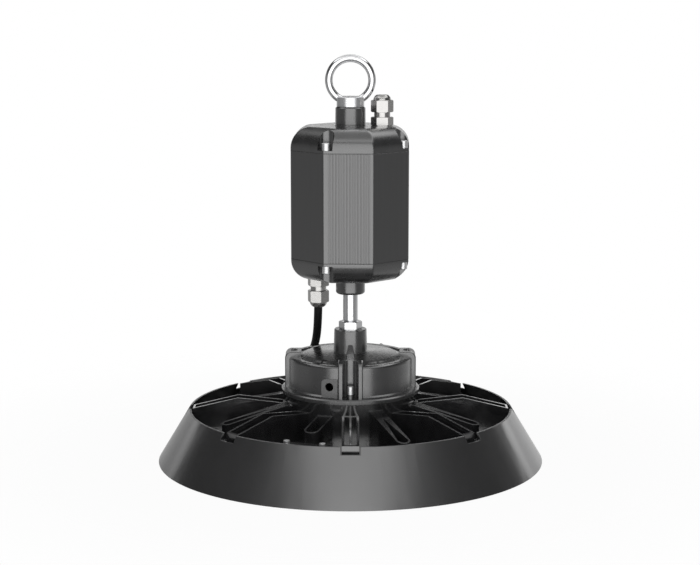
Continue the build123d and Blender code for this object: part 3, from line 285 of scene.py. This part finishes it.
# Ferrite: pressed and fired powder, dark grey with a dull grain.
ferrite = new_material("dark_ferrite")
ferrite_grain = noise(ferrite, place_on_object(ferrite), 0.0009, detail=4.0)
drive(ferrite, "Base Color", tint(ferrite, ferrite_grain, "#29282A", "#3A393B"))
drive(ferrite, "Roughness", spread(ferrite, ferrite_grain, 0.5, 0.75))
raise_surface(ferrite, ferrite_grain, 0.00004)
coat_node("transformer", ferrite)
coat_node("choke", ferrite)

# Capacitor sleeves: shrunk dark blue film with faint wrinkles across the can.
capacitor_sleeve = new_material("blue_capacitor_sleeve")
wrinkles = noise(capacitor_sleeve, place_on_object(capacitor_sleeve, (1.0, 0.2, 1.0)), 0.004)
drive(capacitor_sleeve, "Base Color", tint(capacitor_sleeve, wrinkles, "#1B2440", "#26325A"))
drive(capacitor_sleeve, "Roughness", spread(capacitor_sleeve, wrinkles, 0.25, 0.4))
raise_surface(capacitor_sleeve, wrinkles, 0.00004)
coat_node("capacitors", capacitor_sleeve)

# Terminal plastic: pale moulded nylon, slightly cloudy.
terminal_nylon = new_material("pale_terminal_nylon", Subsurface_Weight=0.05)
nylon_cloud = noise(terminal_nylon, place_on_object(terminal_nylon), 0.003)
drive(terminal_nylon, "Base Color", tint(terminal_nylon, nylon_cloud, "#D6D5CE", "#E4E3DD"))
drive(terminal_nylon, "Roughness", spread(terminal_nylon, nylon_cloud, 0.4, 0.55))
raise_surface(terminal_nylon, nylon_cloud, 0.00002)
coat_node("board_terminals", terminal_nylon)

# Hanging eye: a forged steel ring on a grooved collar, polished and plated, with a stud that is
# screwed into the top cap's boss.

# Bright plating: bright but a little soft, with faint marks where it was wiped.
bright_plating = new_material("bright_plated_steel", Metallic=1.0)
wipe_marks = noise(bright_plating, place_on_object(bright_plating, (1.0, 1.0, 0.3)), 0.006, detail=2.0)
drive(bright_plating, "Base Color", tint(bright_plating, wipe_marks, "#E3E4E6", "#EFEFF0"))
drive(bright_plating, "Roughness", spread(bright_plating, wipe_marks, 0.2, 0.26))
raise_surface(bright_plating, wipe_marks, 0.0000005)

# The collar's outside is turned here, 0.03 mm over the solid's, and its satin finish ends at
# its top.
COLLAR_TOP = 0.3762
COLLAR_R = 0.01403
COLLAR_LOW = 0.36587
COLLAR_HIGH = 0.37613
COLLAR_EDGE = 0.0006
GROOVE_COUNT = 5
GROOVE_DEPTH = 0.00012
LIP_REACH = 0.001
LIP_DROP = 0.0001

# Eye plating: the ring is buffed bright, and the grooved collar under it is left satin.
eye_plating = new_material("bright_plated_eye", Metallic=1.0)
eye_marks = noise(eye_plating, place_on_object(eye_plating, (1.0, 1.0, 0.3)), 0.006, detail=2.0)
eye_height = add_node(eye_plating, "ShaderNodeSeparateXYZ", {
    "Vector": add_node(eye_plating, "ShaderNodeTexCoord", {}).outputs["Object"],
}).outputs["Z"]
drive(eye_plating, "Base Color", tint(eye_plating, eye_marks, "#E3E4E6", "#EFEFF0"))
ring_gloss = spread(eye_plating, eye_height, 0.32, 0.0, from_low=COLLAR_TOP, from_high=COLLAR_TOP + 0.001)
wiped_gloss = spread(eye_plating, eye_marks, 0.08, 0.12)
drive(eye_plating, "Roughness", add_node(eye_plating, "ShaderNodeMath", {0: ring_gloss, 1: wiped_gloss},
                                         operation="MAXIMUM").outputs[0])


def turn_collar(piece):
    """Turns the collar's outside clean, with the shallow grooves that the polishing leaves."""
    profile = [(COLLAR_R - LIP_REACH, COLLAR_LOW + LIP_DROP), (COLLAR_R - COLLAR_EDGE, COLLAR_LOW)]
    pitch = (COLLAR_HIGH - COLLAR_LOW - 2 * COLLAR_EDGE) / GROOVE_COUNT
    for groove in range(GROOVE_COUNT):
        foot = COLLAR_LOW + COLLAR_EDGE + groove * pitch
        profile.append((COLLAR_R, foot))
        profile.append((COLLAR_R, foot + pitch * 0.5))
        profile.append((COLLAR_R - GROOVE_DEPTH, foot + pitch * 0.75))
    profile.append((COLLAR_R, COLLAR_HIGH - COLLAR_EDGE))
    profile.append((COLLAR_R - COLLAR_EDGE, COLLAR_HIGH))
    profile.append((COLLAR_R - LIP_REACH, COLLAR_HIGH - LIP_DROP))
    bpy.ops.object.select_all(action="DESELECT")
    radius, height = profile[0]
    bpy.ops.mesh.primitive_circle_add(vertices=128, radius=radius, location=(0, 0, height))
    collar = bpy.context.active_object
    bpy.ops.object.mode_set(mode="EDIT")
    bpy.ops.mesh.select_all(action="SELECT")
    for next_radius, next_height in profile[1:]:
        bpy.ops.mesh.extrude_region_move(TRANSFORM_OT_translate={"value": (0, 0, next_height - height)})
        widen = next_radius / radius
        bpy.ops.transform.resize(value=(widen, widen, 1), center_override=(0, 0, next_height))
        radius, height = next_radius, next_height
    bpy.ops.mesh.select_all(action="SELECT")
    bpy.ops.mesh.normals_make_consistent(inside=False)
    bpy.ops.object.mode_set(mode="OBJECT")
    if sum(f.normal.x * f.center.x + f.normal.y * f.center.y for f in collar.data.polygons) < 0:
        bpy.ops.object.mode_set(mode="EDIT")
        bpy.ops.mesh.flip_normals()
        bpy.ops.object.mode_set(mode="OBJECT")
    bpy.ops.object.transform_apply(location=True)
    piece.select_set(True)
    bpy.context.view_layer.objects.active = piece
    bpy.ops.object.join()


finish_node("hanging_eye", eye_plating, shaping=turn_collar)

# Cable glands: M16 glands turned from hexagonal brass bar and nickel plated. The body is screwed
# into the casting, and the domed nut squeezes a rubber seal round the cable.

GLAND_EDGE = 0.0002

# Nickel plating: slightly warmer and softer than the eye's, with turning marks.
nickel_plating = new_material("nickel_plated_brass", Metallic=1.0)
turning_marks = noise(nickel_plating, place_on_object(nickel_plating, (0.3, 0.3, 1.0)), 0.001, detail=2.0)
drive(nickel_plating, "Base Color", tint(nickel_plating, turning_marks, "#BAB9B7", "#C4C3C1"))
drive(nickel_plating, "Roughness", spread(nickel_plating, turning_marks, 0.2, 0.28))
raise_surface(nickel_plating, turning_marks, 0.0000008)

for place in ("mains", "output", "module"):
    finish_node(f"{place}_gland_body", nickel_plating, GLAND_EDGE)
    finish_node(f"{place}_gland_nut", nickel_plating, GLAND_EDGE)
    finish_node(f"{place}_gland_seal", seal_rubber)

# Output cable: round black rubber-sheathed cable from the gland under the driver box, round
# behind the junction cover and into the gland on the cover's back wall.

CABLE_DIAMETER = 0.0087
CABLE_ROUTE = (
    (-0.0335, 0.0250, 0.1800),
    (-0.0335, 0.0250, 0.1370),
    (-0.0390, 0.0760, 0.0990),
    (-0.0500, 0.1120, 0.0820),
    (-0.0370, 0.1430, 0.0770),
    (-0.0043, 0.1555, 0.0760),
    (0.0287, 0.1412, 0.0800),
    (0.0425, 0.1079, 0.0925),
    (0.0213, 0.0540, 0.0925),
)

# Cable sheath: dull black rubber with a fine skin.
cable_sheath = new_material("black_cable_sheath", Specular_IOR_Level=0.3)
sheath_skin = noise(cable_sheath, place_on_object(cable_sheath), 0.0008, detail=4.0)
drive(cable_sheath, "Base Color", tint(cable_sheath, sheath_skin, "#0C0C0C", "#141414"))
drive(cable_sheath, "Roughness", spread(cable_sheath, sheath_skin, 0.45, 0.6))
raise_surface(cable_sheath, sheath_skin, 0.00003)

cable_curve = bpy.data.curves.new("output_cable_sheath", "CURVE")
cable_curve.dimensions = "3D"
cable_curve.bevel_depth = CABLE_DIAMETER / 2
cable_curve.bevel_resolution = 6
cable_curve.resolution_u = 24
cable_curve.use_fill_caps = True
cable_line = cable_curve.splines.new("NURBS")
cable_line.points.add(len(CABLE_ROUTE) - 1)
for point, place in zip(cable_line.points, CABLE_ROUTE):
    point.co = (*place, 1.0)
cable_line.order_u = 3
cable_line.use_endpoint_u = True
cable_curve.materials.append(cable_sheath)
cable = bpy.data.objects.new("output_cable_sheath", cable_curve)
bpy.context.scene.collection.objects.link(cable)
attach(cable, "root")
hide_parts("output_cable")

# Link tube and lock nut: a turned and polished steel tube that carries the module, and a thin
# hexagonal nut that locks its thread on the cover's boss.

TUBE_EDGE = 0.0002
LOCK_NUT_EDGE = 0.0003

finish_node("link_tube", bright_plating, TUBE_EDGE)
finish_node("tube_lock_nut", bright_plating, LOCK_NUT_EDGE)

# Junction cover: an aluminium casting with four screw lugs, a boss for the tube, two ribs and
# a raised pad round the spare port, powder coated like the caps. A flat gasket seals it.

COVER_EDGE = 0.0004

finish_node("module_cover", powder_coat, COVER_EDGE)
finish_node("cover_gasket", seal_rubber)
finish_node("cover_screws", screw_steel, SCREW_EDGE)
coat_node("terminal_block", terminal_nylon)

# Heat sink: one thin-walled aluminium casting with a floor, a hub, eight hollow arms that end in
# the shade's notches, and eight fins. It is powder coated, so its rims are slightly rounded.

SINK_EDGE = 0.0009

# Coat on the heat sink: the same powder as the caps', a little glossier, in faint patches.
sink_coat = new_material("black_heat_sink_coat", Specular_IOR_Level=1.0, Coat_Weight=1.0,
                         Coat_Roughness=0.08, Coat_IOR=1.8)
sink_place = place_on_object(sink_coat)
sink_patches = noise(sink_coat, sink_place, 0.015)
drive(sink_coat, "Base Color", tint(sink_coat, sink_patches, "#1A1A1B", "#202021"))
drive(sink_coat, "Roughness", spread(sink_coat, sink_patches, 0.18, 0.26))
raise_surface(sink_coat, noise(sink_coat, sink_place, 0.0009, detail=2.0), 0.000004)

finish_node("heat_sink", sink_coat, SINK_EDGE, segments=3)

# Shade: an aluminium cone spun over a form, with a ledge turned in for the screws and eight
# notches cut in its top rim, finished semi-gloss black.

SHADE_EDGE = 0.0008

# Spun coat: faint rings round the axis left by the spinning tool, under a smooth black coat.
spun_coat = new_material("semi_gloss_spun_shade", Specular_IOR_Level=1.0, Coat_Weight=1.0,
                         Coat_Roughness=0.14, Coat_IOR=1.8)
spun_place = place_on_object(spun_coat, (0.02, 0.02, 1.0))
spun_rings = noise(spun_coat, spun_place, 0.004, detail=1.0)
spun_patches = noise(spun_coat, place_on_object(spun_coat), 0.03)
drive(spun_coat, "Base Color", tint(spun_coat, spun_patches, "#1B1B1C", "#202021"))
drive(spun_coat, "Roughness", spread(spun_coat, spun_rings, 0.278, 0.282))
raise_surface(spun_coat, spun_rings, 0.00000004)

finish_node("shade", spun_coat, SHADE_EDGE, segments=3)
finish_node("shade_screws", screw_steel, SCREW_EDGE)

# Clamp bar: a small flat bar on two posts inside the front rim, held by two bright screws. It
# has the same black coat as the heat sink.

BAR_EDGE = 0.0004

finish_node("clamp_bar", sink_coat, BAR_EDGE)
finish_node("clamp_bar_screws", screw_steel, SCREW_EDGE)

# Light source under the heat sink: a round white circuit board with five rings of LEDs, held by
# eight screws, behind a flat frosted plate that a ring and twelve screws press on its gasket.

LENS_RING_EDGE = 0.0003

# White solder mask: bright, slightly glossy lacquer.
white_mask = new_material("white_solder_mask", Coat_Weight=0.3, Coat_Roughness=0.25)
mask_cloud = noise(white_mask, place_on_object(white_mask), 0.01)
drive(white_mask, "Base Color", tint(white_mask, mask_cloud, "#DEDEDA", "#E8E8E4"))
drive(white_mask, "Roughness", spread(white_mask, mask_cloud, 0.3, 0.42))
raise_surface(white_mask, mask_cloud, 0.00001)
finish_node("led_board", white_mask)

# LED phosphor: warm yellow silicone, a little uneven.
phosphor = new_material("yellow_led_phosphor")
phosphor_grain = noise(phosphor, place_on_object(phosphor), 0.0008)
drive(phosphor, "Base Color", tint(phosphor, phosphor_grain, "#E2C24E", "#EBD06A"))
drive(phosphor, "Roughness", spread(phosphor, phosphor_grain, 0.35, 0.5))
raise_surface(phosphor, phosphor_grain, 0.00002)
finish_node("leds", phosphor)
finish_node("led_board_screws", screw_steel)

# Frosted glass: clear through its body, with an etched face that spreads the light.
frosted_glass = new_material("frosted_lens_glass", Transmission_Weight=1.0, IOR=1.5)
etch = noise(frosted_glass, place_on_object(frosted_glass), 0.0006, detail=3.0)
drive(frosted_glass, "Base Color", tint(frosted_glass, etch, "#EFF3F1", "#F8FAF9"))
drive(frosted_glass, "Roughness", spread(frosted_glass, etch, 0.13, 0.17))
raise_surface(frosted_glass, etch, 0.000004)
finish_node("lens_plate", frosted_glass)
finish_node("lens_gasket", seal_rubber)
finish_node("lens_ring", powder_coat, LENS_RING_EDGE)
finish_node("lens_ring_screws", screw_steel, SCREW_EDGE)

# Floor: a plain white table under the lamp. Close to the lamp it keeps a soft shadow, and away
# from it the table fades into the white backdrop.

TABLE_RADIUS = 0.62
TABLE_TOP = -0.0005
FADE_START = 0.24
FADE_END = 0.60
WHITE_SHARE = 0.92

table_paper = bpy.data.materials.new("white_table_paper")
table_paper.use_nodes = True
table_paper.node_tree.nodes.clear()
table_place = add_node(table_paper, "ShaderNodeTexCoord", {}).outputs["Object"]
table_reach = add_node(table_paper, "ShaderNodeVectorMath", {0: table_place}, operation="LENGTH")
table_fade = add_node(table_paper, "ShaderNodeMapRange", {
    "Value": table_reach.outputs["Value"],
    "From Min": FADE_START,
    "From Max": FADE_END,
}, interpolation_type="SMOOTHSTEP")
from_below = add_node(table_paper, "ShaderNodeNewGeometry", {}).outputs["Backfacing"]
table_open = add_node(table_paper, "ShaderNodeMath", {
    0: table_fade.outputs[0],
    1: from_below,
}, operation="MAXIMUM")
paper_matt = add_node(table_paper, "ShaderNodeBsdfDiffuse", {"Color": linear("#FAFAFA")})
paper_white = add_node(table_paper, "ShaderNodeEmission", {"Strength": 1.0})
paper_lit = add_node(table_paper, "ShaderNodeMixShader", {
    0: WHITE_SHARE,
    1: paper_matt.outputs[0],
    2: paper_white.outputs[0],
})
paper_gone = add_node(table_paper, "ShaderNodeBsdfTransparent", {})
paper_mix = add_node(table_paper, "ShaderNodeMixShader", {
    0: table_open.outputs[0],
    1: paper_lit.outputs[0],
    2: paper_gone.outputs[0],
})
add_node(table_paper, "ShaderNodeOutputMaterial", {"Surface": paper_mix.outputs[0]})

bpy.ops.object.select_all(action="DESELECT")
bpy.ops.mesh.primitive_circle_add(vertices=96, radius=TABLE_RADIUS, fill_type="NGON",
                                  location=(0, 0, TABLE_TOP))
table = bpy.context.active_object
table.name = "table"
table.data.materials.append(table_paper)
table.visible_glossy = False
table.visible_diffuse = False
table.visible_shadow = False

# Light: one wide softbox in front, behind the camera, in a dim white room with a bright ceiling.
# Low behind the lamp the room is as white as the backdrop, which the flat tops of the coated
# pieces mirror, and its right half is a little brighter than its left.

SOFTBOX_RADIANCE = 1.5
SOFTBOX_WIDTH = 3.3
SOFTBOX_HEIGHT = 2.5
SOFTBOX_PLACE = (0.0, -2.1, 0.62)

softbox_data = bpy.data.lights.new("front_softbox", "AREA")
softbox_data.shape = "RECTANGLE"
softbox_data.size = SOFTBOX_WIDTH
softbox_data.size_y = SOFTBOX_HEIGHT
softbox_data.energy = SOFTBOX_RADIANCE * math.pi * SOFTBOX_WIDTH * SOFTBOX_HEIGHT
softbox = bpy.data.objects.new("front_softbox", softbox_data)
softbox.location = SOFTBOX_PLACE
softbox.rotation_euler = (math.radians(90), 0.0, 0.0)
softbox.visible_camera = False
bpy.context.scene.collection.objects.link(softbox)

LOWER_WALLS = 0.24
UPPER_WALLS = 0.08
CEILING = 1.37
OVERHEAD = 0.6
TABLE_GLOW = 0.12
BACKDROP = 1.1
HORIZON_SHARE = 0.42
LEFT_LESS = -0.2
RIGHT_MORE = 0.38
WHITE = 1.0

room = bpy.data.worlds.new("white_room")
room.use_nodes = True
room.node_tree.nodes.clear()
bpy.context.scene.world = room
ray = add_node(room, "ShaderNodeLightPath", {})
towards = add_node(room, "ShaderNodeTexCoord", {}).outputs["Generated"]
axes = add_node(room, "ShaderNodeSeparateXYZ", {"Vector": towards})


def room_step(axis, start, end, low, high):
    """Smooth step of the room's brightness along one axis of the direction."""
    inputs = {"Value": axes.outputs[axis], "From Min": start, "From Max": end, "To Min": low, "To Max": high}
    return add_node(room, "ShaderNodeMapRange", inputs, interpolation_type="SMOOTHSTEP").outputs[0]


def room_math(operation, first, second):
    """Sum, product, or greater or smaller of two brightnesses."""
    return add_node(room, "ShaderNodeMath", {0: first, 1: second}, operation=operation).outputs[0]


# The room all round: walls, a ceiling that is brightest at its edge, and the table's glow behind.
walls = room_step("Z", 0.05, 0.3, LOWER_WALLS, UPPER_WALLS)
ceiling_edge = room_step("Z", 0.655, 0.73, 0.0, CEILING)
ceiling = room_math("MINIMUM", ceiling_edge, room_step("Z", 0.8, 0.93, CEILING, OVERHEAD))
glow_low = room_step("Z", -0.22, -0.14, TABLE_GLOW, 0.0)
glow = room_math("MULTIPLY", glow_low, room_step("Y", -0.35, -0.1, 0.0, 1.0))
plain = room_math("MAXIMUM", room_math("ADD", walls, glow), ceiling)

# The white backdrop low behind the lamp, which only shows in its glossy surfaces.
backdrop_low = room_step("Z", 0.199, 0.207, BACKDROP, 0.0)
backdrop = room_math("MULTIPLY", backdrop_low, room_step("Y", 0.35, 0.8, 0.0, 1.0))
horizon = room_step("Z", 0.08, 0.16, HORIZON_SHARE, 1.0)
mirrored = room_math("MULTIPLY", room_math("MULTIPLY", backdrop, horizon), ray.outputs["Is Glossy Ray"])
even = room_math("MAXIMUM", plain, mirrored)

# Behind the lamp the room is dimmer on the left and brighter on the right.
behind = room_step("Y", 0.05, 0.45, 0.0, 1.0)
side = room_math("MULTIPLY", room_step("X", -0.6, 0.6, LEFT_LESS, RIGHT_MORE), behind)
lit = room_math("MULTIPLY", even, room_math("ADD", side, 1.0))

# The camera, and what is seen through the glass, meet plain white.
seen = room_math("MAXIMUM", ray.outputs["Is Camera Ray"], ray.outputs["Is Transmission Ray"])
strength = add_node(room, "ShaderNodeMix", {0: seen, 2: lit, 3: WHITE}).outputs[0]
sky = add_node(room, "ShaderNodeBackground", {"Color": (1.0, 1.0, 1.0, 1.0), "Strength": strength})
add_node(room, "ShaderNodeOutputWorld", {"Surface": sky.outputs[0]})
